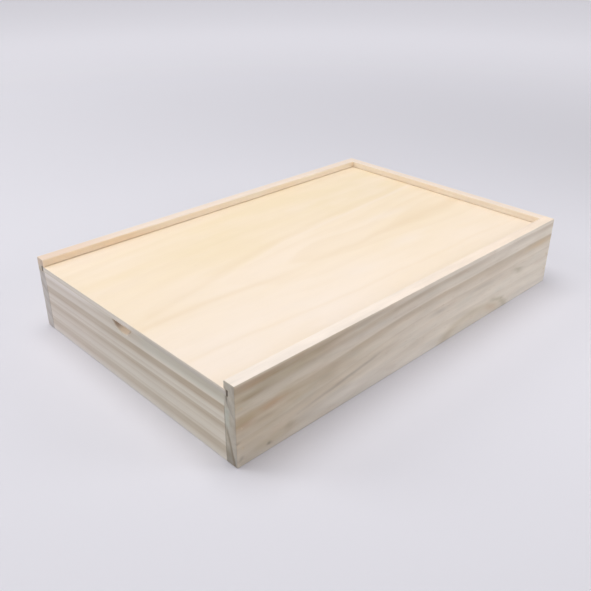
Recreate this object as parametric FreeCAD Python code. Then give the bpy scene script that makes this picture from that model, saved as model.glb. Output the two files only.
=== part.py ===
import FreeCAD, Part
import math
import os

# A wooden box for papers, with a lid that slides out at the front. Sizes are in millimetres.
# X runs across the box, Y from the front to the back, Z up.
# The origin is the middle of the underside.

# The box
LENGTH = 350.0
WIDTH = 230.0
HEIGHT = 58.5
SIDE_WALL = 9.2
FRONT_WALL = 9.2
BACK_WALL = 8.0
OUTER_EDGE_ROUND = 0.8

# The lid and the grooves that it runs in
RIM_ABOVE_LID = 5.8
LID_THICKNESS = 4.0
LID_EDGE_ROUND = 0.5
LID_GROOVE_DEPTH = 3.5
LID_TOP_GAP = 0.4
LID_SIDE_GAP = 1.3
LID_BACK_GAP = 0.5

# The bottom panel and its grooves
PANEL_THICKNESS = 3.0
PANEL_GROOVE_DEPTH = 3.0
PANEL_HEIGHT_ABOVE_TABLE = 3.0
PANEL_TOP_GAP = 0.1
PANEL_EDGE_GAP = 0.3

# The thumb scoop in the top edge of the front wall
SCOOP_WIDTH = 24.0
SCOOP_DROP = 7.0
WOOD_BEHIND_SCOOP = 2.2
SCOOP_EDGE_ROUND = 0.6

# The headless brads of flat wire that hold each corner
BRAD_WIDTH = 1.2
BRAD_THICKNESS = 1.0
BRAD_LENGTH = 22.0
BRAD_POINT_LENGTH = 1.8
BRAD_SET_DEPTH = 0.5
BRADS_PER_CORNER = 3

# Places that follow from the sizes
OUTER_X = WIDTH / 2
INNER_X = OUTER_X - SIDE_WALL
FRONT_Y = -LENGTH / 2
BACK_Y = LENGTH / 2
INNER_FRONT_Y = FRONT_Y + FRONT_WALL
INNER_BACK_Y = BACK_Y - BACK_WALL
LID_TOP_Z = HEIGHT - RIM_ABOVE_LID
LID_BOTTOM_Z = LID_TOP_Z - LID_THICKNESS
LID_GROOVE_TOP_Z = LID_TOP_Z + LID_TOP_GAP
LID_HALF_WIDTH = INNER_X + LID_GROOVE_DEPTH - LID_SIDE_GAP
LID_BACK_Y = INNER_BACK_Y + LID_GROOVE_DEPTH - LID_BACK_GAP
PANEL_BOTTOM_Z = PANEL_HEIGHT_ABOVE_TABLE
PANEL_TOP_Z = PANEL_BOTTOM_Z + PANEL_THICKNESS
PANEL_GROOVE_TOP_Z = PANEL_TOP_Z + PANEL_TOP_GAP
PANEL_REACH = PANEL_GROOVE_DEPTH - PANEL_EDGE_GAP

# Length by which a cutting tool runs past the face that it starts from
PAST = 1.0
SAME_PLACE = 1e-6


def block(x_span, y_span, z_span):
    """A plain block between two places along each axis."""
    low = FreeCAD.Vector(x_span[0], y_span[0], z_span[0])
    size = [span[1] - span[0] for span in (x_span, y_span, z_span)]
    return Part.makeBox(*size, low)


def edges_where(shape, wanted):
    """The edges of a shape whose own box passes the test."""
    return [edge for edge in shape.Edges if wanted(edge.BoundBox)]


def same(first, second):
    return abs(first - second) < SAME_PLACE


def is_sanded_edge(box):
    """Edges of the glued-up carcass that are sanded: the rim, the four outer corners and the foot."""
    on_rim = same(box.ZMin, HEIGHT) and same(box.ZMax, HEIGHT)
    at_outer_x = same(abs(box.XMin), OUTER_X) and same(box.XMin, box.XMax)
    at_outer_y = same(abs(box.YMin), BACK_Y) and same(box.YMin, box.YMax)
    at_foot = same(box.ZMin, 0) and same(box.ZMax, 0)
    at_corner = at_outer_x and at_outer_y
    return on_rim or at_corner or (at_foot and (at_outer_x or at_outer_y))


def carcass():
    """The four walls as one ring, lower at the front, with its bare edges sanded after gluing."""
    outside = block((-OUTER_X, OUTER_X), (FRONT_Y, BACK_Y), (0, HEIGHT))
    inside = block((-INNER_X, INNER_X), (INNER_FRONT_Y, INNER_BACK_Y), (-PAST, HEIGHT + PAST))
    over_front_wall = block(
        (-INNER_X, INNER_X), (FRONT_Y - PAST, INNER_FRONT_Y + PAST), (LID_BOTTOM_Z, HEIGHT + PAST)
    )
    ring = outside.cut(inside).cut(over_front_wall).removeSplitter()
    return ring.makeFillet(OUTER_EDGE_ROUND, edges_where(ring, is_sanded_edge))


def routed_groove(y_span, z_span, depth, open_at_front):
    """A groove for the right wall's inner face, left by a bit as wide as the groove.

    An end that stops inside the wall is a half circle whose middle lies at the end of the span.
    """
    radius = (z_span[1] - z_span[0]) / 2
    middle_z = (z_span[0] + z_span[1]) / 2
    start_y, end_y = y_span

    def point(y, z):
        return FreeCAD.Vector(INNER_X - PAST, y, z)

    low_start = point(start_y, z_span[0])
    low_end = point(end_y, z_span[0])
    high_start = point(start_y, z_span[1])
    high_end = point(end_y, z_span[1])
    edges = [
        Part.makeLine(low_start, low_end),
        Part.Arc(low_end, point(end_y + radius, middle_z), high_end).toShape(),
        Part.makeLine(high_end, high_start),
    ]
    if open_at_front:
        edges.append(Part.makeLine(high_start, low_start))
    else:
        edges.append(Part.Arc(high_start, point(start_y - radius, middle_z), low_start).toShape())
    outline = Part.Face(Part.Wire(edges))
    return outline.extrude(FreeCAD.Vector(PAST + depth, 0, 0))


def brad_heights():
    """Heights of a corner's brads, each in the middle of its share of the wood between the grooves."""
    share = (LID_BOTTOM_Z - PANEL_GROOVE_TOP_Z) / BRADS_PER_CORNER
    return [PANEL_GROOVE_TOP_Z + (index + 0.5) * share for index in range(BRADS_PER_CORNER)]


def brads(short_wall_y, head_x=OUTER_X - BRAD_SET_DEPTH):
    """A right-hand corner's brads, driven inwards along the middle of the short wall to a chisel point."""
    tip_x = OUTER_X - BRAD_SET_DEPTH - BRAD_LENGTH
    shoulder_x = tip_x + BRAD_POINT_LENGTH
    low_y = short_wall_y - BRAD_THICKNESS / 2
    high_y = short_wall_y + BRAD_THICKNESS / 2
    outline = [
        (head_x, low_y),
        (shoulder_x, low_y),
        (tip_x, short_wall_y),
        (shoulder_x, high_y),
        (head_x, high_y),
    ]
    made = []
    for height in brad_heights():
        points = [FreeCAD.Vector(x, y, height - BRAD_WIDTH / 2) for x, y in outline]
        side = Part.Face(Part.makePolygon([*points, points[0]]))
        made.append(side.extrude(FreeCAD.Vector(0, 0, BRAD_WIDTH)))
    return Part.makeCompound(made)


def brad_holes(short_wall_y):
    """What a corner's brads take out of the wood, with the dimple over each set head."""
    return brads(short_wall_y, head_x=OUTER_X + PAST).Solids


def mirrored(shape):
    """The left-hand twin of a right-hand shape."""
    return shape.mirror(FreeCAD.Vector(0, 0, 0), FreeCAD.Vector(1, 0, 0))


def front_brad_y():
    return (FRONT_Y + INNER_FRONT_Y) / 2


def back_brad_y():
    return (INNER_BACK_Y + BACK_Y) / 2


def right_side_wall(ring):
    """The long board: the lid's groove runs out at its front end, the panel's stops at both ends."""
    space = block((INNER_X, OUTER_X + PAST), (FRONT_Y - PAST, BACK_Y + PAST), (-PAST, HEIGHT + PAST))
    lid_groove = routed_groove(
        (FRONT_Y - PAST, LID_BACK_Y + LID_BACK_GAP),
        (LID_BOTTOM_Z, LID_GROOVE_TOP_Z),
        LID_GROOVE_DEPTH,
        open_at_front=True,
    )
    panel_groove = routed_groove(
        (INNER_FRONT_Y - PANEL_GROOVE_DEPTH, INNER_BACK_Y + PANEL_GROOVE_DEPTH),
        (PANEL_BOTTOM_Z, PANEL_GROOVE_TOP_Z),
        PANEL_GROOVE_DEPTH,
        open_at_front=False,
    )
    board = ring.common(space).cut([lid_groove, panel_groove])
    return board.cut(brad_holes(front_brad_y()) + brad_holes(back_brad_y()))


def short_wall_groove(face_y, outwards, z_span, depth):
    """A groove that runs the whole length of a short wall, cut in its inner face."""
    start_y = face_y - outwards * PAST
    end_y = face_y + outwards * depth
    reach = INNER_X + PAST
    return block((-reach, reach), sorted((start_y, end_y)), z_span)


def thumb_scoop():
    """The ball whose hollow is the scoop.

    It cuts the board's top edge along the scoop's width. Its middle stands out in front of the face
    and above the top, by as much as gives the hollow its depth into the board and its drop.
    """
    half_width = SCOOP_WIDTH / 2
    depth = FRONT_WALL - WOOD_BEHIND_SCOOP
    in_front = (half_width**2 - depth**2) / (2 * depth)
    above = (half_width**2 - SCOOP_DROP**2) / (2 * SCOOP_DROP)
    radius = math.hypot(half_width, in_front, above)
    return Part.makeSphere(radius, FreeCAD.Vector(0, FRONT_Y - in_front, LID_BOTTOM_Z + above))


def front_wall(ring):
    """The short board at the front, up to the underside of the lid, with the thumb scoop."""
    space = block((-INNER_X, INNER_X), (FRONT_Y - PAST, INNER_FRONT_Y), (-PAST, HEIGHT))
    scooped = ring.common(space).cut(thumb_scoop())
    scoop_face = next(face for face in scooped.Faces if isinstance(face.Surface, Part.Sphere))
    eased = scooped.makeFillet(SCOOP_EDGE_ROUND, scoop_face.Edges)
    panel_groove = short_wall_groove(
        INNER_FRONT_Y, -1, (PANEL_BOTTOM_Z, PANEL_GROOVE_TOP_Z), PANEL_GROOVE_DEPTH
    )
    holes = brad_holes(front_brad_y())
    return eased.cut([panel_groove, *holes, *[mirrored(hole) for hole in holes]])


def back_wall(ring):
    """The short board at the back, as tall as the side walls, with a groove for the lid's back edge."""
    space = block((-INNER_X, INNER_X), (INNER_BACK_Y, BACK_Y + PAST), (-PAST, HEIGHT + PAST))
    panel_groove = short_wall_groove(
        INNER_BACK_Y, 1, (PANEL_BOTTOM_Z, PANEL_GROOVE_TOP_Z), PANEL_GROOVE_DEPTH
    )
    lid_groove = short_wall_groove(
        INNER_BACK_Y, 1, (LID_BOTTOM_Z, LID_GROOVE_TOP_Z), LID_GROOVE_DEPTH
    )
    holes = brad_holes(back_brad_y())
    return ring.common(space).cut([panel_groove, lid_groove, *holes, *[mirrored(hole) for hole in holes]])


def bottom_panel():
    """The thin sheet that lies in the grooves of all four walls."""
    reach_x = INNER_X + PANEL_REACH
    return block(
        (-reach_x, reach_x),
        (INNER_FRONT_Y - PANEL_REACH, INNER_BACK_Y + PANEL_REACH),
        (PANEL_BOTTOM_Z, PANEL_TOP_Z),
    )


def sliding_lid():
    """The lid: flush with the front of the box, its other three edges in the grooves."""
    sheet = block(
        (-LID_HALF_WIDTH, LID_HALF_WIDTH), (FRONT_Y, LID_BACK_Y), (LID_BOTTOM_Z, LID_TOP_Z)
    )
    top_edges = edges_where(sheet, lambda box: same(box.ZMin, LID_TOP_Z))
    return sheet.makeFillet(LID_EDGE_ROUND, top_edges)


def main():
    os.makedirs("parts", exist_ok=True)
    ring = carcass()
    right_wall = right_side_wall(ring)
    front_brads = brads(front_brad_y())
    back_brads = brads(back_brad_y())
    nodes = {
        "right_side_wall": right_wall,
        "left_side_wall": mirrored(right_wall),
        "front_wall": front_wall(ring),
        "back_wall": back_wall(ring),
        "bottom_panel": bottom_panel(),
        "sliding_lid": sliding_lid(),
        "front_right_brads": front_brads,
        "front_left_brads": mirrored(front_brads),
        "back_right_brads": back_brads,
        "back_left_brads": mirrored(back_brads),
    }
    for name, shape in nodes.items():
        solids = shape.Solids
        print(name, len(solids), "solid(s)", round(shape.Volume, 1), "mm3", shape.isValid())
        piece = solids[0] if len(solids) == 1 else Part.makeCompound(solids)
        piece.exportStep(f"parts/{name}.step")


main()
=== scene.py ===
import math
from dataclasses import dataclass

import bmesh
import bpy
from mathutils import Matrix, Vector


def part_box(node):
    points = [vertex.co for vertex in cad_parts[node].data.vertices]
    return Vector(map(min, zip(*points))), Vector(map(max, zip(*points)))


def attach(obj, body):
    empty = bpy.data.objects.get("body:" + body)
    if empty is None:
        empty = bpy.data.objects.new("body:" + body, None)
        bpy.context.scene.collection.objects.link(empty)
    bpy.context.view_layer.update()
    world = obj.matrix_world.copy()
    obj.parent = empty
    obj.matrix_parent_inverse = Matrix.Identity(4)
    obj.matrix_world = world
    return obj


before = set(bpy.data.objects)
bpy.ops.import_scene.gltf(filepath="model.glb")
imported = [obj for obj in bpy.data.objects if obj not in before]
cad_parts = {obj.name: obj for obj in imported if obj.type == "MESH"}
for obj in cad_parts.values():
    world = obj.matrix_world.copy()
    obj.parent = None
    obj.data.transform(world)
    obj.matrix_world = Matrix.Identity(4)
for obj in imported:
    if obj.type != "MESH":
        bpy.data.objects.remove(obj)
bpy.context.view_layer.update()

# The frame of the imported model, in metres: X across the box, Y from its front to its back, Z up.
# Places in the wood are in millimetres in the same frame.
MM = 0.001


def in_mm(node):
    """The lowest and highest corners of a node, in millimetres."""
    low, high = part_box(node)
    return low / MM, high / MM


SIDE_LOW, SIDE_HIGH = in_mm("right_side_wall")
FAR_LOW, FAR_HIGH = in_mm("left_side_wall")
FRONT_LOW, FRONT_HIGH = in_mm("front_wall")
BACK_LOW, BACK_HIGH = in_mm("back_wall")
LID_LOW, LID_HIGH = in_mm("sliding_lid")
PANEL_LOW, PANEL_HIGH = in_mm("bottom_panel")
OUTER_X = SIDE_HIGH.x
INNER_X = SIDE_LOW.x
FRONT_Y = FRONT_LOW.y
BACK_Y = BACK_HIGH.y
INNER_BACK = BACK_LOW.y
LENGTH = BACK_Y - FRONT_Y
CORNERS = ("front_right", "front_left", "back_right", "back_left")


def linear(red, green, blue):
    """A colour given as a screen shows it, 0 to 255, in the renderer's own linear values."""
    made = []
    for part in (red, green, blue):
        share = part / 255
        made.append(share / 12.92 if share <= 0.04045 else ((share + 0.055) / 1.055) ** 2.4)
    return (*made, 1.0)


# Formulas as material nodes


def new_node(tree, kind, **settings):
    made = tree.nodes.new(kind)
    for name, value in settings.items():
        setattr(made, name, value)
    return made


def feed(tree, socket, value):
    if isinstance(value, Number):
        tree.links.new(value.socket, socket)
    else:
        socket.default_value = value


def calc(tree, operation, *values):
    made = new_node(tree, "ShaderNodeMath", operation=operation)
    for socket, value in zip(made.inputs, values):
        feed(tree, socket, value)
    return Number(tree, made.outputs[0])


class Number:
    """A number or colour that varies over a surface. What is worked out from it becomes nodes."""

    def __init__(self, tree, socket):
        self.tree = tree
        self.socket = socket

    def calc(self, operation, *others):
        return calc(self.tree, operation, self, *others)

    def __add__(self, other):
        return self.calc("ADD", other)

    __radd__ = __add__

    def __sub__(self, other):
        return self.calc("SUBTRACT", other)

    def __rsub__(self, other):
        return calc(self.tree, "SUBTRACT", other, self)

    def __mul__(self, other):
        return self.calc("MULTIPLY", other)

    def __truediv__(self, other):
        return self.calc("DIVIDE", other)

    def absolute(self):
        return self.calc("ABSOLUTE")

    def squared(self):
        return self * self

    def root(self):
        return self.calc("SQRT")

    def floor(self):
        return self.calc("FLOOR")

    def fraction(self):
        return self.calc("FRACT")

    def smaller(self, other):
        return self.calc("MINIMUM", other)

    def larger(self, other):
        return self.calc("MAXIMUM", other)

    def rise(self, start, end):
        """0 on the side of start, 1 on the side of end, and a smooth step between the two."""
        step = new_node(self.tree, "ShaderNodeMapRange", interpolation_type="SMOOTHSTEP")
        low, high = sorted((start, end))
        feed(self.tree, step.inputs["Value"], self)
        step.inputs["From Min"].default_value = low
        step.inputs["From Max"].default_value = high
        risen = Number(self.tree, step.outputs["Result"])
        return risen if start <= end else 1 - risen

    def hill(self, width):
        """1 where this number is 0, falling to about a third at the width on either side."""
        return (self / width).squared().calc("MULTIPLY", -1).calc("EXPONENT")


def together(tree, x, y, z):
    """A place made of three numbers."""
    made = new_node(tree, "ShaderNodeCombineXYZ")
    for socket, value in zip(made.inputs, (x, y, z)):
        feed(tree, socket, value)
    return Number(tree, made.outputs[0])


def smooth_noise(tree, place, detail=2.0, roughness=0.5):
    """Smooth random values about 0, mostly between -1 and 1."""
    made = new_node(tree, "ShaderNodeTexNoise", noise_dimensions="3D")
    feed(tree, made.inputs["Vector"], place)
    made.inputs["Scale"].default_value = 1.0
    made.inputs["Detail"].default_value = detail
    made.inputs["Roughness"].default_value = roughness
    return (Number(tree, made.outputs[0]) - 0.5) * 4


def random_by(tree, number):
    """A random value from 0 to 1 that stays the same for the same number."""
    made = new_node(tree, "ShaderNodeTexWhiteNoise", noise_dimensions="1D")
    feed(tree, made.inputs["W"], number)
    return Number(tree, made.outputs["Value"])


def mixed(tree, share, first, second):
    """The first colour, and by its share the second."""
    made = new_node(tree, "ShaderNodeMix", data_type="RGBA")
    feed(tree, made.inputs[0], share)
    feed(tree, made.inputs[6], first)
    feed(tree, made.inputs[7], second)
    return Number(tree, made.outputs[2])


def brightened(tree, colour, factor):
    """The colour times a number."""
    made = new_node(tree, "ShaderNodeVectorMath", operation="SCALE")
    feed(tree, made.inputs[0], colour if isinstance(colour, Number) else colour[:3])
    feed(tree, made.inputs["Scale"], factor)
    return Number(tree, made.outputs[0])


def tinted(tree, colour, tint):
    """The colour with each of its parts times its own number."""
    made = new_node(tree, "ShaderNodeVectorMath", operation="MULTIPLY")
    feed(tree, made.inputs[0], colour)
    feed(tree, made.inputs[1], tint)
    return Number(tree, made.outputs[0])


def new_material(name):
    """A material with nothing in its tree but a shader, with the tree and the shader."""
    made = bpy.data.materials.new(name)
    made.use_nodes = True
    tree = made.node_tree
    tree.nodes.clear()
    shader = new_node(tree, "ShaderNodeBsdfPrincipled")
    output = new_node(tree, "ShaderNodeOutputMaterial")
    tree.links.new(shader.outputs[0], output.inputs["Surface"])
    return made, tree, shader


# Wood

WOOD_GLOSS = 0.35
WOOD_BUMP = 0.6

# How much of a surface's normal points a way before it starts to count as facing it, and when it
# counts in full
FACING = (0.6, 0.9)
NEARLY_FACING = (0.5, 0.9)


class Grain:
    """Places in a board, in millimetres, and the tilt of its surface."""

    def __init__(self, tree, axis, seed):
        self.tree = tree
        source = new_node(tree, "ShaderNodeTexCoord")
        place = new_node(tree, "ShaderNodeSeparateXYZ")
        facing = new_node(tree, "ShaderNodeSeparateXYZ")
        tree.links.new(source.outputs["Object"], place.inputs[0])
        tree.links.new(source.outputs["Normal"], facing.inputs[0])
        self.x, self.y, self.z = (Number(tree, place.outputs[index]) / MM for index in range(3))
        facing_x, facing_y, facing_z = (Number(tree, facing.outputs[index]) for index in range(3))
        self.upward = facing_z
        self.flat = facing_z.absolute()
        if axis == "X":
            self.along, self.across, self.end_on = self.x, self.y, facing_x.absolute()
        else:
            self.along, self.across, self.end_on = self.y, self.x, facing_y.absolute()
        self.seed = seed

    def noise(self, along_size, across_size, detail=2.0, roughness=0.5, turn=0.0):
        """Random values in patches of about these sizes along and across the grain.

        turn moves the pattern, so that two of the same size differ.
        """
        place = together(
            self.tree,
            self.along / along_size + (self.seed + turn),
            self.across / across_size + turn,
            self.z / across_size - self.seed,
        )
        return smooth_noise(self.tree, place, detail, roughness)

    def edge_distance(self, low, high):
        """How far a place on the surface of a block lies from the block's nearest edge."""
        gaps = []
        for place, start, end in zip((self.x, self.y, self.z), low, high):
            gaps.append((end - start) / 2 - (place - (start + end) / 2).absolute())
        first, second, third = gaps
        middle = first.larger(second).smaller(third)
        return first.smaller(second).larger(middle)


def fibres(grain):
    """Fine streaks of the fibres, and the rarer short dark lines of resin canals."""
    coarse = grain.noise(38, 0.9, detail=3.0, roughness=0.6, turn=2.1)
    fine = grain.noise(9, 0.28, detail=2.0, turn=7.9)
    canals = grain.noise(7, 0.42, detail=0.0, turn=5.5).rise(1.05, 1.5)
    return coarse * 0.6 + fine * 0.4, canals


def finish_wood(grain, shader, colour, relief, roughness, relief_depth):
    """Joins a wood's colour and relief to its shader."""
    tree = grain.tree
    feed(tree, shader.inputs["Base Color"], colour)
    feed(tree, shader.inputs["Roughness"], roughness)
    shader.inputs["Specular IOR Level"].default_value = WOOD_GLOSS
    bump = new_node(tree, "ShaderNodeBump")
    bump.inputs["Strength"].default_value = WOOD_BUMP
    bump.inputs["Distance"].default_value = relief_depth
    feed(tree, bump.inputs["Height"], relief)
    tree.links.new(bump.outputs[0], shader.inputs["Normal"])


# Pine

PINE_EARLY = linear(226, 214, 198)
PINE_PALE = linear(232, 223, 209)
PINE_LATE = linear(172, 146, 112)
PINE_CANAL = linear(150, 118, 88)
PINE_ROUGHNESS = 0.62
PINE_RELIEF = 0.12 * MM

# The weaker years between the ones that stand out: how far apart, and how much they show
FAINT_RING = 3.1
FAINT_SHARE = 0.2

# How much each of these shows, and how far in from an edge the wear starts and is full
CANAL_SHARE = 0.34
FIBRE_SHARE = 0.048
RIM_SHARE = 0.92
WORN_SHARE = 0.05
WORN_START = 1.6
WORN_FULL = 0.3


@dataclass
class Board:
    """A board as it was sawn from the tree, and what its faces show.

    axis is the way that its grain runs, and seed sets its random patterns. face is its outer
    face's place across the grain, and pith the middle of the tree, both in the board's own
    cross-section. bend is how far the tree's waviness moves the rings. years are the year rings
    that the outer face shows: the height at which each one's dark wood ends, how dark it is at
    the board's low end, and how dark it is once the length called fade is past. spread is the
    dark wood's width. rim gives the colour of the top edge, lift how far the rings are moved,
    and paint adds the marks. end_darkening is how much darker the end grain is, and mottle how
    much the colour varies in small patches.
    """

    name: str
    axis: str
    seed: float
    corners: tuple
    face: float
    pith: tuple
    bend: float
    years: tuple
    rim: object
    lift: object = None
    paint: object = None
    spread: float = 6.0
    fade: float = 350.0
    end_darkening: float = 0.12
    mottle: float = 0.03

    def radius_on_face(self, height):
        return math.hypot(self.face - self.pith[0], height - self.pith[1])

    def radius(self, grain):
        """How far a place lies from the pith, as the tree's own waviness bends it."""
        across = grain.across - self.pith[0]
        up = grain.z - self.pith[1]
        wave = grain.noise(230, 45, detail=1.5, turn=11.3) * self.bend
        ripple = grain.noise(46, 14, turn=4.7) * (self.bend * 0.18)
        radius = (across.squared() + up.squared()).root() + wave + ripple
        return radius - self.lift(grain) if self.lift else radius

    def shown_years(self, grain, radius):
        """The dark wood of the years that the outer face shows."""
        low = self.corners[0].x if self.axis == "X" else self.corners[0].y
        further = grain.along.rise(low, low + self.fade)
        total = 0
        for height, start_dark, end_dark in self.years:
            outside = radius - self.radius_on_face(height)
            band = outside.rise(-self.spread, -self.spread * 0.2) * outside.rise(0.6, -0.2)
            total = band * (further * (end_dark - start_dark) + start_dark) + total
        return total


def faint_years(grain, radius):
    """The weaker years between the ones that stand out."""
    rings = radius / FAINT_RING
    phase = rings.fraction()
    band = phase.rise(0.35, 0.92) * phase.rise(1.0, 0.93)
    return band * random_by(grain.tree, rings.floor() + grain.seed)


def late_wood(board, grain, fine):
    """How dark the years make a place. They are weaker on a level face, and broken by the fibres."""
    radius = board.radius(grain)
    late = board.shown_years(grain, radius) + faint_years(grain, radius) * FAINT_SHARE
    level = grain.flat.rise(*FACING)
    return late * (1 - level * 0.6) * (grain.noise(60, 8, turn=3.9) * 0.2 + fine * 0.28 + 1)


def worn_edges(board, grain):
    """Edges rubbed by hands, more in some places than in others."""
    edge = grain.edge_distance(*board.corners).rise(WORN_START, WORN_FULL)
    return edge * grain.noise(22, 5, detail=3.0, turn=9.1).rise(-0.6, 0.9)


def pine(board):
    """Bare sanded pine."""
    made, tree, shader = new_material(board.name)
    grain = Grain(tree, board.axis, board.seed)
    fine, canals = fibres(grain)
    late = late_wood(board, grain, fine)
    end = grain.end_on.rise(*FACING)
    tone = grain.noise(260, 30, turn=1.7)

    colour = mixed(tree, tone.rise(-1.2, 1.2), PINE_EARLY, PINE_PALE)
    colour = mixed(tree, late, colour, PINE_LATE)
    colour = mixed(tree, canals * (1 - end) * CANAL_SHARE, colour, PINE_CANAL)
    if board.paint:
        colour = board.paint(grain, colour)
    # Painted light: the top edge above the lid is painted paler than the faces, for the light from above
    rim = grain.upward.rise(*FACING) * grain.z.rise(LID_HIGH.z, LID_HIGH.z + 1)
    colour = mixed(tree, rim * RIM_SHARE, colour, board.rim(grain))
    worn = worn_edges(board, grain)
    mottling = grain.noise(34, 6, detail=3.0, turn=21.7)
    factor = fine * FIBRE_SHARE + mottling * board.mottle - end * board.end_darkening
    colour = brightened(tree, colour, factor + worn * WORN_SHARE + 1)

    relief = fine * 0.25 - late * 0.5 - canals * 0.5 + worn * 0.2
    roughness = PINE_ROUGHNESS + fine * 0.05 - late * 0.08 + end * 0.12
    finish_wood(grain, shader, colour, relief, roughness, PINE_RELIEF)
    return made


# Plywood

PLY_FACE = linear(250, 231, 201)
PLY_YELLOW = linear(247, 228, 193)
PLY_PALE = linear(253, 236, 215)
PLY_LILAC = linear(253, 240, 229)
PLY_DEEP = linear(236, 210, 172)
PLY_CORE = linear(236, 227, 215)
PLY_EDGE = linear(230, 220, 205)
PLY_GLUE = linear(176, 152, 124)
PLY_ROUGHNESS = 0.56
PLY_RELIEF = 0.08 * MM

# The face's arches: how far the knife starts from their middle, the ring width, and how much they
# show
FIGURE_START = 25
FIGURE_RING = 13
FIGURE_SHARE = 0.16

# At the sheet's edges: how soft the core's border is, and the glue line's half width and strength
CORE_SOFTNESS = 0.06
GLUE_WIDTH = 0.08
GLUE_SHARE = 0.25


@dataclass
class Sheet:
    """A sheet of three-ply, with a rotary-cut face each side of a core whose grain runs crosswise.

    The knife follows the rings, so a face shows them as broad nested arches. middle_x is the
    arches' middle across the sheet, climb how fast the knife leaves the rings along it, and veneer
    the thickness of a face.
    """

    name: str
    seed: float
    corners: tuple
    middle_x: float
    climb: float
    veneer: float
    paint: object = None
    edge_paint: object = None


def ply_figure(sheet, grain):
    """The dark side of each ring in the face, and how dark each ring is."""
    depth = grain.along * -sheet.climb + FIGURE_START + grain.noise(170, 60, turn=3.3) * 9
    aside = grain.across - sheet.middle_x + grain.noise(120, 60, turn=6.1) * 7
    rings = (depth.squared() + aside.squared()).root() / FIGURE_RING
    phase = rings.fraction()
    figure = phase.rise(0.15, 0.8) * phase.rise(1.0, 0.86)
    return figure, random_by(grain.tree, rings.floor() + sheet.seed) * 0.8 + 0.2


def ply_edges(sheet, grain, face, fine):
    """The face's colour, and at the sheet's edges that of the veneers, the core and the glue."""
    tree = grain.tree
    low, high = sheet.corners
    half_core = (high.z - low.z) / 2 - sheet.veneer
    off_middle = (grain.z - (low.z + high.z) / 2).absolute()
    in_core = off_middle.rise(half_core + CORE_SOFTNESS, half_core - CORE_SOFTNESS)
    glue = (off_middle - half_core).hill(GLUE_WIDTH)
    place = together(tree, grain.along / 0.5, grain.across / 9, grain.z / 0.4)
    core = brightened(tree, PLY_CORE, 1 + smooth_noise(tree, place, detail=3.0) * 0.05)
    edge = brightened(tree, PLY_EDGE, 1 + fine * 0.03)
    side_on = grain.flat.rise(0.97, 0.75)
    colour = mixed(tree, in_core, mixed(tree, side_on, face, edge), core)
    return mixed(tree, glue * side_on * GLUE_SHARE, colour, PLY_GLUE)


def plywood(sheet):
    """Bare sanded light plywood."""
    made, tree, shader = new_material(sheet.name)
    grain = Grain(tree, "Y", sheet.seed)
    figure, strength = ply_figure(sheet, grain)
    fine, canals = fibres(grain)
    cloud = grain.noise(140, 38, detail=3.0, turn=8.3)

    face = mixed(tree, cloud.rise(-1.1, 1.1), PLY_FACE, PLY_PALE)
    face = mixed(tree, figure * strength * FIGURE_SHARE, face, PLY_DEEP)
    if sheet.paint:
        face = sheet.paint(grain, face)
    patches = grain.noise(32, 11, detail=3.0, turn=27.1)
    face = brightened(tree, face, 1 + fine * 0.016 + patches * 0.008 - canals * 0.035)
    colour = ply_edges(sheet, grain, face, fine)
    if sheet.edge_paint:
        colour = sheet.edge_paint(grain, colour)

    relief = fine * 0.25 - figure * 0.15 - canals * 0.3
    finish_wood(grain, shader, colour, relief, PLY_ROUGHNESS + fine * 0.05, PLY_RELIEF)
    return made


# Steel wire, and the filler over the brads, pressed into the dimple above each head and wiped off

STEEL = linear(150, 150, 152)
STEEL_ROUGHNESS = 0.38
FILLER = linear(214, 196, 168)
FILLER_ROUGHNESS = 0.75
BRADS_PER_CORNER = 3
FLAT_WIRE_WIDTH = 1.2
FILLER_BELOW_FACE = 0.02
FILLER_DISH = 0.05
FILLER_DISH_SIZE = 0.6
FILLER_CLEARANCE = 0.01
OUTLINE_POINTS = 20


def steel(name):
    """Bare flat steel wire."""
    made, tree, shader = new_material(name)
    streaks = Grain(tree, "X", 3.0).noise(6, 0.15)
    feed(tree, shader.inputs["Base Color"], brightened(tree, STEEL, 1 + streaks * 0.08))
    feed(tree, shader.inputs["Roughness"], STEEL_ROUGHNESS + streaks * 0.06)
    shader.inputs["Metallic"].default_value = 1.0
    return made


def filler(name):
    """Gritty wood filler."""
    made, tree, shader = new_material(name)
    grit = Grain(tree, "Y", 61.0).noise(0.3, 0.3, detail=3.0)
    feed(tree, shader.inputs["Base Color"], brightened(tree, FILLER, 1 + grit * 0.06))
    feed(tree, shader.inputs["Roughness"], FILLER_ROUGHNESS + grit * 0.05)
    return made


def brad_places(corner):
    """A corner's brads: their heads' place across the box and along it, their heights, and how thick."""
    low, high = in_mm(f"{corner}_brads")
    head_x = high.x if high.x > 0 else low.x
    step = (high.z - low.z - FLAT_WIRE_WIDTH) / (BRADS_PER_CORNER - 1)
    heights = [low.z + FLAT_WIRE_WIDTH / 2 + index * step for index in range(BRADS_PER_CORNER)]
    return head_x, (low.y + high.y) / 2, heights, high.y - low.y


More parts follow.
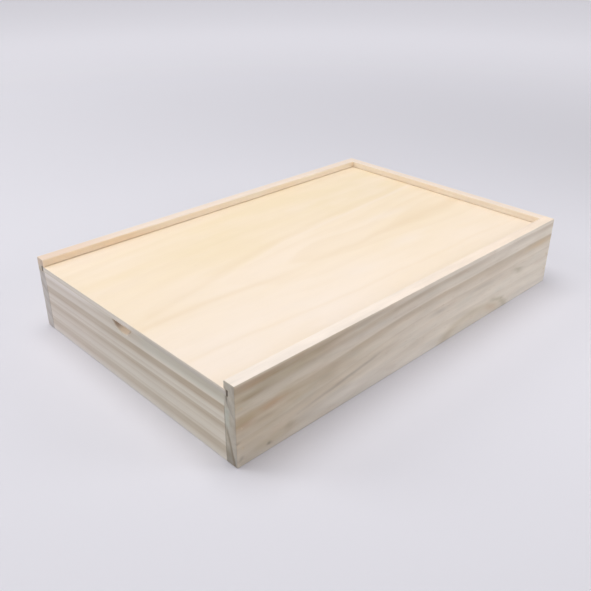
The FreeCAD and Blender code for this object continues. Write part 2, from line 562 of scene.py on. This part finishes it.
def add_dab(mesh, head_x, y, height, thick):
    """One plug of filler: a rounded rectangle in outline, dished where the rag wiped it."""
    side = 1 if head_x > 0 else -1
    face_x = side * (OUTER_X - FILLER_BELOW_FACE)
    half_y = thick / 2 - FILLER_CLEARANCE
    half_z = FLAT_WIRE_WIDTH / 2 - FILLER_CLEARANCE
    loops = []
    for x, share in ((head_x, 1.0), (face_x, 1.0), (face_x - side * FILLER_DISH, FILLER_DISH_SIZE)):
        loop = []
        for index in range(OUTLINE_POINTS):
            turn = 2 * math.pi * index / OUTLINE_POINTS
            across, up = math.cos(turn), math.sin(turn)
            bulge = (across**4 + up**4) ** -0.25
            beside = y + across * bulge * half_y * share
            above = height + up * bulge * half_z * share
            loop.append(mesh.verts.new(Vector((x, beside, above)) * MM))
        loops.append(loop)
    for first, second in zip(loops, loops[1:]):
        for index in range(OUTLINE_POINTS):
            following = (index + 1) % OUTLINE_POINTS
            mesh.faces.new((first[index], first[following], second[following], second[index]))
    mesh.faces.new(loops[0])
    mesh.faces.new(loops[-1])


def make_putty():
    built = bmesh.new()
    for corner in CORNERS:
        head_x, y, heights, thick = brad_places(corner)
        for height in heights:
            add_dab(built, head_x, y, height, thick)
    bmesh.ops.recalc_face_normals(built, faces=built.faces)
    mesh = bpy.data.meshes.new("putty_dabs")
    built.to_mesh(mesh)
    built.free()
    mesh.materials.append(filler("wood_filler"))
    putty = bpy.data.objects.new("putty_dabs", mesh)
    bpy.context.scene.collection.objects.link(putty)
    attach(putty, "box")


# What more than one board shows

# The top edges' colours, paler than the faces: painted light from above
PINE_RIM_NEAR_FRONT = linear(255, 243, 231)
PINE_RIM_NEAR_BACK = linear(251, 232, 212)
PINE_RIM_FAR_FRONT = linear(240, 216, 195)
PINE_RIM_FAR = linear(245, 228, 212)
# Painted bounce light on the inside faces above the lid: its two colours, and how much it shows
PINE_BOUNCE_LIT = linear(255, 229, 197)
PINE_BOUNCE_LIT_PALE = linear(255, 245, 229)
BOUNCE_LIGHT_SHARE = 0.92
# Painted shade in the lid's groove, and how strongly it shows; the same share sets the grey on the lid's
# front edge
GROOVE_SHADE = linear(128, 110, 90)
GROOVE_SHADE_AND_GREY_SHARE = 0.6

# The filler's smear round each brad: its half size and how much it shows
SMEAR_SIZE = (1.7, 1.4)
SMEAR_SHARE = 0.35

# How far into a side wall the painted shade of the lid's groove reaches, a little past the groove
GROOVE_SHADE_DEPTH = 4

FRONT_BRAD_Y = brad_places("front_right")[1]
BACK_BRAD_Y = brad_places("back_right")[1]
BRAD_HEIGHTS = brad_places("front_right")[2]


def near_rim(grain):
    return mixed(grain.tree, grain.y.rise(FRONT_Y, BACK_Y), PINE_RIM_NEAR_FRONT, PINE_RIM_NEAR_BACK)


def far_rim(grain):
    return mixed(grain.tree, grain.y.rise(FRONT_Y + 20, FRONT_Y + 80), PINE_RIM_FAR_FRONT, PINE_RIM_FAR)


def on_front_end(grain):
    """1 on a long board's front end."""
    return grain.end_on.rise(*FACING) * grain.y.rise(FRONT_Y + 3, FRONT_Y + 1)


def oval_share(aside, up, size):
    """How far out a place lies in an oval of this half size: 0 in the middle, 1 on the outline."""
    return ((aside / size[0]).squared() + (up / size[1]).squared()).root()


def bounce_light_paint(grain, colour, behind_face):
    """Painted bounce light: above the lid, the inside faces are painted lighter and more orange than the
    outside, for the light that the lid throws back onto them.
    """
    inside = behind_face.rise(0.6, 0.1) * grain.z.rise(LID_HIGH.z - 1, LID_HIGH.z)
    paler = grain.noise(45, 12, detail=3.0, turn=13.3) * 0.3 + 0.25 + grain.y.rise(FRONT_Y, 60) * 0.4
    overlay = mixed(grain.tree, paler, PINE_BOUNCE_LIT, PINE_BOUNCE_LIT_PALE)
    return mixed(grain.tree, inside * BOUNCE_LIGHT_SHARE, colour, overlay)


def smear_paint(grain, colour):
    """The filler over the brads leaves a faint smear round each one."""
    spacing = BRAD_HEIGHTS[1] - BRAD_HEIGHTS[0]
    steps = (grain.z - BRAD_HEIGHTS[0]) / spacing + 0.5
    up = (steps.fraction() - 0.5) * spacing
    aside = (grain.y - FRONT_BRAD_Y).absolute().smaller((grain.y - BACK_BRAD_Y).absolute())
    smear = oval_share(aside, up, SMEAR_SIZE).rise(1.2, 0.5)
    smear = smear * grain.z.rise(50, 46) * (1 - grain.end_on)
    return mixed(grain.tree, smear * SMEAR_SHARE, colour, FILLER)


def groove_shade_paint(grain, colour):
    """Painted shade: the lid's groove is painted darker below the lid's top."""
    within = grain.z.rise(LID_LOW.z - 0.3, LID_LOW.z + 0.1) * grain.z.rise(LID_HIGH.z + 0.1, LID_HIGH.z - 0.3)
    within = within * grain.x.absolute().rise(INNER_X + GROOVE_SHADE_DEPTH + 0.2, INNER_X + GROOVE_SHADE_DEPTH - 0.2)
    within = within * (1 - grain.end_on.rise(*NEARLY_FACING))
    return mixed(grain.tree, within * GROOVE_SHADE_AND_GREY_SHARE, colour, GROOVE_SHADE)


# The near long board, whose figure is placed as the photograph shows it

PINE_STAIN_AND_SHADE = linear(178, 154, 100)
MARK_ORANGE = linear(188, 138, 96)
MARK_BROWN = linear(150, 124, 91)
MARK_GREY = linear(138, 124, 112)
MARK_OLIVE = linear(144, 130, 86)
MARK_RESIN = linear(204, 170, 112)
MARK_DARK = linear(104, 88, 70)
MARK_PALE = linear(232, 228, 222)
MARK_COOL = linear(202, 206, 196)
ARCH_WOOD = linear(184, 162, 114)

# Marks on its outer face: distance from the front end and height, half the length and half the
# height, how far it climbs for each millimetre along, how strong it is, and its colour
NEAR_MARKS = (
    ((100, 54.6), (130, 2.3), 0.0, 0.28, MARK_BROWN),
    ((15, 54.5), (16, 2.2), 0.0, 0.24, MARK_ORANGE),
    ((30, 40.0), (60, 24.0), 0.0, 0.05, MARK_OLIVE),
    ((30, 49.5), (52, 3.4), 0.01, 0.24, MARK_OLIVE),
    ((180, 48.0), (110, 2.6), 0.0, 0.16, MARK_BROWN),
    ((280, 53.2), (70, 2.4), 0.0, 0.26, MARK_PALE),
    ((280, 39.6), (90, 2.4), 0.0, 0.16, MARK_BROWN),
    ((78, 51.5), (14, 2.4), 0.0, 0.16, MARK_ORANGE),
    ((95, 9.0), (48, 6.0), 0.0, 0.42, MARK_PALE),
    ((90, 46.5), (60, 2.6), 0.02, 0.18, MARK_PALE),
    ((12, 46.5), (13, 1.5), 0.0, 0.34, MARK_BROWN),
    ((28, 33.5), (12, 2.8), 0.0, 0.36, MARK_ORANGE),
    ((6, 28.5), (8, 2.8), 0.0, 0.34, MARK_ORANGE),
    ((22, 26.3), (8, 1.3), 0.0, 0.24, MARK_BROWN),
    ((74, 32.0), (16, 3.6), 0.05, 0.24, MARK_BROWN),
    ((42, 9.5), (4, 4.0), 0.0, 0.2, MARK_BROWN),
    ((25.5, 5.4), (2.2, 0.9), -0.2, 0.5, MARK_DARK),
    ((2.0, 5.5), (2.0, 1.6), 0.0, 0.3, MARK_DARK),
    ((1.6, 18.2), (1.8, 0.8), 0.0, 0.3, MARK_DARK),
    ((192, 30.5), (10, 2.0), 0.0, 0.26, MARK_GREY),
    ((250, 31.2), (20, 2.2), 0.0, 0.26, MARK_GREY),
    ((300, 27.6), (7, 2.3), -0.3, 0.32, MARK_OLIVE),
    ((330, 42.0), (22, 2.8), 0.0, 0.34, MARK_RESIN),
    ((206, 4.5), (9, 3.0), 0.3, 0.12, MARK_BROWN),
    ((264, 6.5), (7, 3.0), -0.4, 0.2, MARK_ORANGE),
)

# A small knot that the rings part round: its place, its half size, and how far they part
EYE = (300, 28)
EYE_SIZE = (10, 5)
EYE_PARTING = 1.5

# The dark line of one year, which starts low at the front and climbs between two places along
DARK_YEAR = 14
DARK_YEAR_CLIMB = 16.5
CLIMB_START = 20
CLIMB_END = 200

# Two nested arcs at the foot, where the saw ran close to a branch: middle and half size. Their
# lines' widths are shares of the size, and only a stretch of the second one shows.
ARCH = ((238, -2), (38, 14))
ARCH_LINE = 0.2
HOOK = ((255, -2), (31, 16))
HOOK_LINE = 0.12
HOOK_STRETCH = (256, 272)


def near_climb(grain):
    """From 0 at the front to 1 where the rings have climbed."""
    return grain.y.rise(FRONT_Y + CLIMB_START, FRONT_Y + CLIMB_END)


def near_lift(grain):
    """The rings rise from the front end on, and part round the small knot."""
    climb = near_climb(grain) * (6.5 - grain.z * 0.06)
    around_eye = (grain.y - FRONT_Y - EYE[0]).hill(EYE_SIZE[0]) * (grain.z - EYE[1]).hill(EYE_SIZE[1])
    return climb + around_eye * EYE_PARTING


def near_stains_shade_and_light(grain, colour, along, height, on_face):
    """The front half is browner, partly a brown stain and partly painted shade; the foot is painted paler, as
    painted light thrown up from the floor; and patches are warmer or cooler.
    """
    tree = grain.tree
    front = along.rise(170, 0)
    stain = grain.noise(50, 9, detail=3.0, turn=6.6).rise(-0.4, 1.1)
    # Painted shade and a stain: the front part is browner, by the stain's patches and by an even share
    colour = mixed(tree, front * (stain * 0.42 + 0.2), colour, PINE_STAIN_AND_SHADE)
    # Painted light: the foot is painted paler, for the light that the floor throws up
    colour = mixed(tree, height.rise(13, 0) * 0.36 * on_face, colour, MARK_PALE)
    hue = grain.noise(24, 7, detail=3.0, turn=31.3)
    colour = mixed(tree, hue.rise(0.1, 1.1) * 0.11 * on_face, colour, MARK_ORANGE)
    return mixed(tree, hue.rise(-0.1, -1.1) * 0.16 * on_face, colour, MARK_COOL)


def near_arcs(grain, colour, along, height, on_face):
    """The two arcs at the foot, and the dark line that climbs from the front."""
    tree = grain.tree
    middle, size = ARCH
    out = oval_share(along - middle[0], height - middle[1], size)
    arch = (out - 1).hill(ARCH_LINE) * 0.26 + out.rise(1.0, 0.7) * 0.12
    colour = mixed(tree, arch * on_face, colour, ARCH_WOOD)
    middle, size = HOOK
    out = oval_share(along - middle[0], height - middle[1], size)
    hook = (out - 1).hill(HOOK_LINE) * along.rise(*HOOK_STRETCH) * on_face
    colour = mixed(tree, hook * 0.34, colour, MARK_OLIVE)
    line = (height - near_climb(grain) * DARK_YEAR_CLIMB - DARK_YEAR).hill(1.3)
    line = line * along.rise(30, 80) * along.rise(132, 116) * on_face
    return mixed(tree, line * 0.36, colour, MARK_GREY)


def near_marks(grain, colour, along, height, on_face):
    """Each mark is a soft oval."""
    for place, size, lean, share, mark_colour in NEAR_MARKS:
        aside = along - place[0]
        mark = aside.hill(size[0]) * (height - place[1] - aside * lean).hill(size[1])
        colour = mixed(grain.tree, mark * share * on_face, colour, mark_colour)
    return colour


# The front end of that board. Places are the frame's own, across the box and up it, and a lean is
# how far a line moves across for each millimetre up.
END_PALE = linear(205, 209, 203)
END_WEDGE = linear(214, 224, 214)
END_RING = linear(124, 112, 98)
END_DARK = linear(112, 99, 84)
END_CRACK = linear(84, 76, 66)
WEDGE_X = 109.5
UPPER_RING = (109.6, 42)
UPPER_RING_LEAN = 0.62
DARK_FOOT_EDGE = (106.6, 26)
DARK_FOOT_LEAN = 0.29
RING_WIDTH = 0.9
CRACK = (107.9, 46)
CRACK_LEAN = 0.1
CRACK_WIDTH = 0.7


def end_dark_foot(grain, colour, on_end):
    """A dark ring on the front end, and behind it wood that is darker towards the foot."""
    tree = grain.tree
    edge = DARK_FOOT_EDGE[0] + (DARK_FOOT_EDGE[1] - grain.z) * DARK_FOOT_LEAN + grain.noise(9, 5, turn=8.8) * 0.3
    ring = (grain.x - edge).hill(RING_WIDTH) * grain.z.rise(28, 22) * on_end
    colour = mixed(tree, ring * 0.32, colour, END_DARK)
    overlay = (grain.x - edge).rise(0.9, -0.7) * grain.z.rise(18, 5) * on_end
    return mixed(tree, overlay * 0.42, colour, END_DARK)


def end_paint(grain, colour):
    """The front end: a pale wedge, a ring, a second ring with wood darker towards the foot behind it, and a
    dry crack under the lid's groove.
    """
    tree = grain.tree
    on_end = on_front_end(grain)
    colour = mixed(tree, on_end * 0.35, colour, END_PALE)
    wedge = (grain.x - WEDGE_X).rise(1.2, -0.8) * grain.z.rise(22, 30) * grain.z.rise(43, 38) * on_end
    colour = mixed(tree, wedge * 0.4, colour, END_WEDGE)
    ring = (grain.x - UPPER_RING[0] + (grain.z - UPPER_RING[1]) * UPPER_RING_LEAN).hill(RING_WIDTH)
    ring = ring * grain.z.rise(34, 38) * on_end
    colour = mixed(tree, ring * grain.z.rise(48, 43) * 0.3, colour, END_RING)
    colour = end_dark_foot(grain, colour, on_end)
    crack = (grain.x - CRACK[0] + (grain.z - CRACK[1]) * CRACK_LEAN).hill(CRACK_WIDTH)
    crack = crack * grain.z.rise(43, 47.5) * grain.z.rise(LID_LOW.z + 0.2, LID_LOW.z - 0.2) * on_end
    return mixed(tree, crack * 0.75, colour, END_CRACK)


def near_paint(grain, colour):
    """Everything on its outer face, at its front end, round its brads and in its groove."""
    on_face = grain.x.rise(OUTER_X - 2.5, OUTER_X - 1)
    ripple = grain.noise(14, 5, turn=14.2)
    along = grain.y - FRONT_Y + ripple * 2
    height = grain.z + ripple * 0.5
    for step in (near_stains_shade_and_light, near_arcs, near_marks):
        colour = step(grain, colour, along, height, on_face)
    return groove_shade_paint(grain, smear_paint(grain, end_paint(grain, colour)))


NEAR_BOARD = Board(
    name="pine_near_long_board",
    axis="Y",
    seed=2.0,
    corners=(SIDE_LOW, SIDE_HIGH),
    face=OUTER_X,
    pith=(-31, -21),
    bend=0.5,
    years=(
        (57, 0.4, 0.05),
        (48.3, 0.05, 0.36),
        (35.4, 0.3, 0.42),
        (27, 0.2, 0.07),
        (DARK_YEAR + 1.5, 0.16, 0.1),
        (8, 0.08, 0.0),
        (-6, 0.5, 0.0),
        (-16, 0.3, 0.0),
    ),
    rim=near_rim,
    lift=near_lift,
    paint=near_paint,
    spread=3.2,
    fade=130.0,
    end_darkening=0.1,
    mottle=0.075,
)


# The far long board and the back board

FAR_END_LOW = linear(204, 202, 206)
FAR_END_HIGH = linear(238, 204, 178)


def far_paint(grain, colour):
    """The far board's front end is cooler below the lid's groove and browner above it."""
    tree = grain.tree
    on_end = on_front_end(grain)
    colour = mixed(tree, on_end * grain.z.rise(49, 47) * 0.5, colour, FAR_END_LOW)
    colour = mixed(tree, on_end * grain.z.rise(LID_HIGH.z, LID_HIGH.z + 1) * 0.4, colour, FAR_END_HIGH)
    colour = bounce_light_paint(grain, colour, grain.x.absolute() - INNER_X)
    return groove_shade_paint(grain, smear_paint(grain, colour))


def back_paint(grain, colour):
    return bounce_light_paint(grain, colour, grain.y - INNER_BACK)


FAR_BOARD = Board(
    name="pine_far_long_board",
    axis="Y",
    seed=17.0,
    corners=(FAR_LOW, FAR_HIGH),
    face=FAR_LOW.x,
    pith=(-20, 140),
    bend=1.0,
    years=((4, 0.3, 0.4), (15, 0.4, 0.3), (27, 0.3, 0.5), (38, 0.5, 0.3), (50, 0.3, 0.4), (62, 0.3, 0.3)),
    rim=far_rim,
    paint=far_paint,
    end_darkening=0.06,
)

BACK_BOARD = Board(
    name="pine_back_board",
    axis="X",
    seed=47.0,
    corners=(BACK_LOW, BACK_HIGH),
    face=BACK_Y,
    pith=(60, -50),
    bend=0.6,
    years=((-5, 0.3, 0.3), (8, 0.4, 0.3), (21, 0.3, 0.45), (33, 0.45, 0.3), (45, 0.3, 0.4), (57, 0.3, 0.3)),
    rim=far_rim,
    paint=back_paint,
)


# The front board

GLUE_LINE = linear(104, 88, 70)
FRONT_UNDER_LID_SHADE = linear(208, 207, 194)
FRONT_PALE = linear(246, 237, 226)
SCOOP_LIT_PALE = linear(240, 222, 198)
SCOOP_SHADED_DARK = linear(176, 146, 120)

# Its wood is cooler than the long boards', most of all on the left
FRONT_TINT = (1.01, 1.045, 1.055)
FRONT_LEFT_TINT = (1.03, 1.01, 1.05)
FRONT_RIGHT_TINT = (1.03, 1.03, 1.015)


def front_lift(grain):
    """Its upper rings run a little higher at the right end."""
    return (grain.x - FRONT_LOW.x) * grain.z * 0.00018


def front_tints(grain, colour, on_front):
    """The tints of the whole front, of its left and of its right."""
    left = grain.x.rise(30, -90) * on_front
    right = grain.x.rise(20, 90) * on_front
    for share, tint in ((on_front, FRONT_TINT), (left, FRONT_LEFT_TINT), (right, FRONT_RIGHT_TINT)):
        colour = mixed(grain.tree, share, colour, tinted(grain.tree, colour, tint))
    return colour


def scoop_paint(grain, colour):
    """The scoop's hollow: its floor is painted paler, partly clean-cut wood and partly painted light, and its
    flanks darker, partly end grain and partly painted shade.
    """
    tree = grain.tree
    deep = grain.y.rise(FRONT_Y + 0.3, FRONT_Y + 1.2) * grain.y.rise(FRONT_HIGH.y - 1.6, FRONT_HIGH.y - 2.1)
    scooped = deep * grain.x.absolute().rise(13, 12) * grain.z.rise(39, 40)
    facing_side = grain.end_on.rise(0.2, 0.55)
    # Painted light on the scoop's floor, and painted shade on its flanks together with their end grain
    colour = mixed(tree, scooped * (1 - facing_side), colour, SCOOP_LIT_PALE)
    return mixed(tree, scooped * facing_side * 0.6, colour, SCOOP_SHADED_DARK)


def front_paint(grain, colour):
    """A hairline of glue at the side walls, painted shade under the lid at the right, a foot painted paler
    for the light that the floor throws up, and the scoop.
    """
    tree = grain.tree
    line = (grain.x.absolute() - INNER_X).hill(0.5)
    colour = mixed(tree, line * (grain.z.rise(44, 34) * 0.6 + 0.2), colour, GLUE_LINE)
    on_front = grain.y.rise(FRONT_Y + 1.2, FRONT_Y + 0.6)
    # Painted shade: the strip under the lid's edge at the right is painted darker and greyer
    under_lid_shade = grain.z.rise(40.5, 44) * grain.x.rise(11, 30) * on_front
    colour = mixed(tree, under_lid_shade * 0.4, colour, FRONT_UNDER_LID_SHADE)
    pale = grain.z.rise(44.5, 46.5) * grain.x.rise(-10, -70) * on_front
    colour = mixed(tree, pale * 0.6, colour, FRONT_PALE)
    # Painted light: the foot is painted paler, for the light that the floor throws up
    colour = mixed(tree, grain.z.rise(10, 0) * 0.4, colour, FRONT_PALE)
    return scoop_paint(grain, front_tints(grain, colour, on_front))


FRONT_BOARD = Board(
    name="pine_front_board",
    axis="X",
    seed=31.0,
    corners=(FRONT_LOW, FRONT_HIGH),
    face=FRONT_Y,
    pith=(-60, -60),
    bend=0.25,
    years=(
        (59, 0.3, 0.3),
        (46.5, 0.12, 0.5),
        (37.7, 0.42, 0.58),
        (25.6, 0.3, 0.42),
        (10.2, 0.3, 0.42),
        (-4, 0.3, 0.3),
    ),
    rim=far_rim,
    lift=front_lift,
    paint=front_paint,
    spread=5.0,
    fade=212.0,
    end_darkening=0.0,
)


# The lid and the bottom panel

# Painted shade on the lid's long edges in the groove, and the grey of its front edge's right half
GROOVE_SHADE_ON_LID = linear(120, 104, 86)
LID_END_GREY = linear(190, 184, 170)

# The lid's pale vein: how far left of the middle it is where it bends, and how far in front of it
VEIN_LEFT = 18
VEIN_BEND = 12
VEIN_LEAN_BEHIND = 0.084
VEIN_LEAN_BEFORE = 0.23

# The two darker streaks on its right: their places across, and how strongly both show
STREAK_X = 23
FAR_STREAK_X = 78
STREAK_SHARE = 0.26

# Pale patches on the lid: the middle, half its size across and along, and how strong it is
LID_PATCHES = (((2, 88), (6, 22), 0.3), ((48, 62), (7, 20), 0.35), ((58, -5), (8, 22), 0.3))


def beside_vein(grain):
    """How far to the right of the lid's vein a place lies."""
    behind = (grain.y + VEIN_BEND).larger(0) * VEIN_LEAN_BEHIND
    before = (-VEIN_BEND - grain.y).larger(0) * VEIN_LEAN_BEFORE
    return grain.x + VEIN_LEFT + behind - before + grain.noise(60, 20, turn=2.9) * 1.5


def lid_halves(grain, colour, aside):
    """The lid is yellower left of its vein, and paler to the right, where light from the right is painted,
    and towards the front.
    """
    tree = grain.tree
    patch = grain.noise(75, 22, detail=3.0, turn=12.7).rise(-0.9, 0.9)
    left = aside.rise(2, -4) * 0.45 + grain.x.rise(10, -60) * grain.x.rise(-104, -80) * 0.55
    left = left * (grain.y.rise(-130, -40) * 0.65 + 0.35)
    colour = mixed(tree, left * (patch * 0.8 + 0.1), colour, PLY_YELLOW)
    # Painted light: paler towards the right
    right = (grain.y.rise(-20, -120) * grain.x.rise(-70, 20) * 0.6).larger(grain.x.rise(10, 80))
    colour = mixed(tree, right * (1 - patch * 0.6), colour, PLY_PALE)
    lilac = grain.y.rise(30, -90) * grain.x.rise(-40, 95) * (1 - patch * 0.5)
    return mixed(tree, lilac * 0.55, colour, PLY_LILAC)


def lid_vein(grain, colour, aside):
    """The pale vein, with a darker line on its left."""
    tree = grain.tree
    colour = mixed(tree, (aside + 6).hill(3.5) * 0.16, colour, PLY_DEEP)
    vein = (aside - 1.5).hill(2.2) * grain.y.rise(-70, -20).larger((grain.y + 88).hill(12) * 0.7)
    return mixed(tree, vein * 0.7, colour, PLY_PALE)


def lid_streaks(grain, colour):
    """Two swaying darker streaks along the lid's right half."""
    sway = grain.noise(80, 300, turn=15.1)
    streak = (grain.x - STREAK_X + sway * 5).hill(3.2 + grain.y.rise(40, 110) * 4)
    streak = streak * (grain.y.rise(-10, 70) + grain.y.rise(-40, -90) * 0.7 + 0.35)
    far_streak = (grain.x - FAR_STREAK_X - grain.y * 0.04 + sway * 3).hill(1.8) * 0.55
    return mixed(grain.tree, (streak + far_streak) * STREAK_SHARE, colour, PLY_DEEP)


def lid_paint(grain, colour):
    """What the lid's top shows."""
    aside = beside_vein(grain)
    colour = lid_vein(grain, lid_halves(grain, colour, aside), aside)
    for centre, size, share in LID_PATCHES:
        pale = (grain.x - centre[0]).hill(size[0]) * (grain.y - centre[1]).hill(size[1])
        colour = mixed(grain.tree, pale * share, colour, PLY_LILAC)
    return lid_streaks(grain, colour)


def lid_edge_paint(grain, colour):
    """Painted shade: the lid's long edges, where they lie in the groove, are painted darker; the right half
    of its front edge is a darker grey.
    """
    in_groove = grain.x.absolute().rise(LID_HIGH.x - 1.6, LID_HIGH.x - 0.3)
    colour = mixed(grain.tree, in_groove * GROOVE_SHADE_AND_GREY_SHARE, colour, GROOVE_SHADE_ON_LID)
    front_right = grain.end_on.rise(*NEARLY_FACING) * grain.x.rise(5, 30)
    front_right = front_right * grain.z.rise(LID_HIGH.z - 0.4, LID_HIGH.z - 2)
    return mixed(grain.tree, front_right * GROOVE_SHADE_AND_GREY_SHARE, colour, LID_END_GREY)


LID_SHEET = Sheet(
    name="plywood_lid",
    seed=5.0,
    corners=(LID_LOW, LID_HIGH),
    middle_x=18,
    climb=0.19,
    veneer=0.9,
    paint=lid_paint,
    edge_paint=lid_edge_paint,
)

BOTTOM_SHEET = Sheet(
    name="plywood_bottom",
    seed=23.0,
    corners=(PANEL_LOW, PANEL_HIGH),
    middle_x=-30,
    climb=0.1,
    veneer=0.7,
)


# Each node's material


def dress(node, material):
    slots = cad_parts[node].data.materials
    slots.clear()
    slots.append(material)


def dress_nodes():
    dress("right_side_wall", pine(NEAR_BOARD))
    dress("left_side_wall", pine(FAR_BOARD))
    dress("front_wall", pine(FRONT_BOARD))
    dress("back_wall", pine(BACK_BOARD))
    dress("sliding_lid", plywood(LID_SHEET))
    dress("bottom_panel", plywood(BOTTOM_SHEET))
    wire = steel("flat_steel_wire")
    for corner in CORNERS:
        dress(f"{corner}_brads", wire)


# Floor and light, in metres

FLOOR = linear(229, 228, 235)
FLOOR_REACH = 9.0
FLOOR_ROUGHNESS = 0.9

# The floor glows a little to the camera where the lamps no longer reach it
GLOW = 0.42
GLOW_START = 0.35
GLOW_FULL = 1.5

# The room's strength as a light, and how much brighter it looks to the camera
ROOM = linear(240, 238, 240)
ROOM_LIGHT = 0.34
ROOM_SEEN = 0.52

# Each lamp's name, its place, what it points at, its width, its power in watts and its spread in
# degrees
LAMPS = (
    ("overhead", (-0.2, -0.1, 1.5), (0, 0, 0), 1.2, 13.3, 180),
    ("left_front", (-1.0, -0.9, 0.75), (0, -0.1, 0.03), 0.7, 1.43, 100),
    ("back_right", (0.7, 0.45, 0.34), (0.1, 0.06, 0.03), 0.4, 0.4, 80),
)


def seen_directly(tree):
    """1 for what the camera sees, also in or through something, and 0 for the light that it sheds."""
    path = new_node(tree, "ShaderNodeLightPath")
    seen = Number(tree, path.outputs["Is Camera Ray"])
    for name in ("Is Glossy Ray", "Is Transmission Ray"):
        seen = seen.larger(Number(tree, path.outputs[name]))
    return seen


def floor_material():
    made, tree, shader = new_material("pale_floor")
    shader.inputs["Base Color"].default_value = FLOOR
    shader.inputs["Roughness"].default_value = FLOOR_ROUGHNESS
    place = new_node(tree, "ShaderNodeSeparateXYZ")
    source = new_node(tree, "ShaderNodeTexCoord")
    tree.links.new(source.outputs["Object"], place.inputs[0])
    x, y = (Number(tree, place.outputs[index]) for index in range(2))
    far_off = (x.squared() + y.squared()).root().rise(GLOW_START, GLOW_FULL)
    shader.inputs["Emission Color"].default_value = FLOOR
    feed(tree, shader.inputs["Emission Strength"], far_off * GLOW * seen_directly(tree))
    return made


def make_floor():
    """A plain pale floor."""
    mesh = bpy.data.meshes.new("floor")
    around = ((-1, -1), (1, -1), (1, 1), (-1, 1))
    corners = [(x * FLOOR_REACH, y * FLOOR_REACH, 0) for x, y in around]
    mesh.from_pydata(corners, [], [(0, 1, 2, 3)])
    mesh.materials.append(floor_material())
    floor = bpy.data.objects.new("floor", mesh)
    bpy.context.scene.collection.objects.link(floor)


def area_light(name, place, target, size, power, spread):
    data = bpy.data.lights.new(name, "AREA")
    data.shape = "DISK"
    data.size = size
    data.energy = power
    data.spread = math.radians(spread)
    lamp = bpy.data.objects.new(name, data)
    lamp.location = place
    lamp.rotation_euler = (Vector(target) - Vector(place)).to_track_quat("-Z", "Y").to_euler()
    bpy.context.scene.collection.objects.link(lamp)


def make_light():
    for lamp in LAMPS:
        area_light(*lamp)
    world = bpy.data.worlds.new("pale_room")
    world.use_nodes = True
    tree = world.node_tree
    background = tree.nodes["Background"]
    background.inputs["Color"].default_value = ROOM
    feed(tree, background.inputs["Strength"], ROOM_LIGHT + seen_directly(tree) * ROOM_SEEN)
    bpy.context.scene.world = world


# The camera, as found by fitting the box's corners in the photograph of 591 by 591 pixels

AZIMUTH = 45.93
ELEVATION = 28.34
ROLL = 0.21
DISTANCE = 1.717 * LENGTH * MM
ASIDE = -0.035 * LENGTH * MM
ABOVE = 0.013 * LENGTH * MM
FOCUS_PIXELS = 721.6
PICTURE_PIXELS = 591
SENSOR_MM = 36.0


def make_camera():
    azimuth = math.radians(AZIMUTH)
    elevation = math.radians(ELEVATION)
    level = math.cos(elevation)
    backwards = Vector((math.sin(azimuth) * level, -math.cos(azimuth) * level, math.sin(elevation)))
    right = Vector((math.cos(azimuth), math.sin(azimuth), 0))
    up = backwards.cross(right)
    turned = Matrix((right, up, backwards)).transposed() @ Matrix.Rotation(math.radians(ROLL), 3, "Z")
    data = bpy.data.cameras.new("photograph")
    data.sensor_width = SENSOR_MM
    data.lens = SENSOR_MM * FOCUS_PIXELS / PICTURE_PIXELS
    camera = bpy.data.objects.new("photograph", data)
    place = backwards * DISTANCE + right * ASIDE + up * ABOVE
    camera.matrix_world = Matrix.Translation(place) @ turned.to_4x4()
    bpy.context.scene.collection.objects.link(camera)
    bpy.context.scene.camera = camera


dress_nodes()
make_putty()
make_floor()
make_light()
make_camera()
bpy.context.scene.view_settings.view_transform = "Standard"
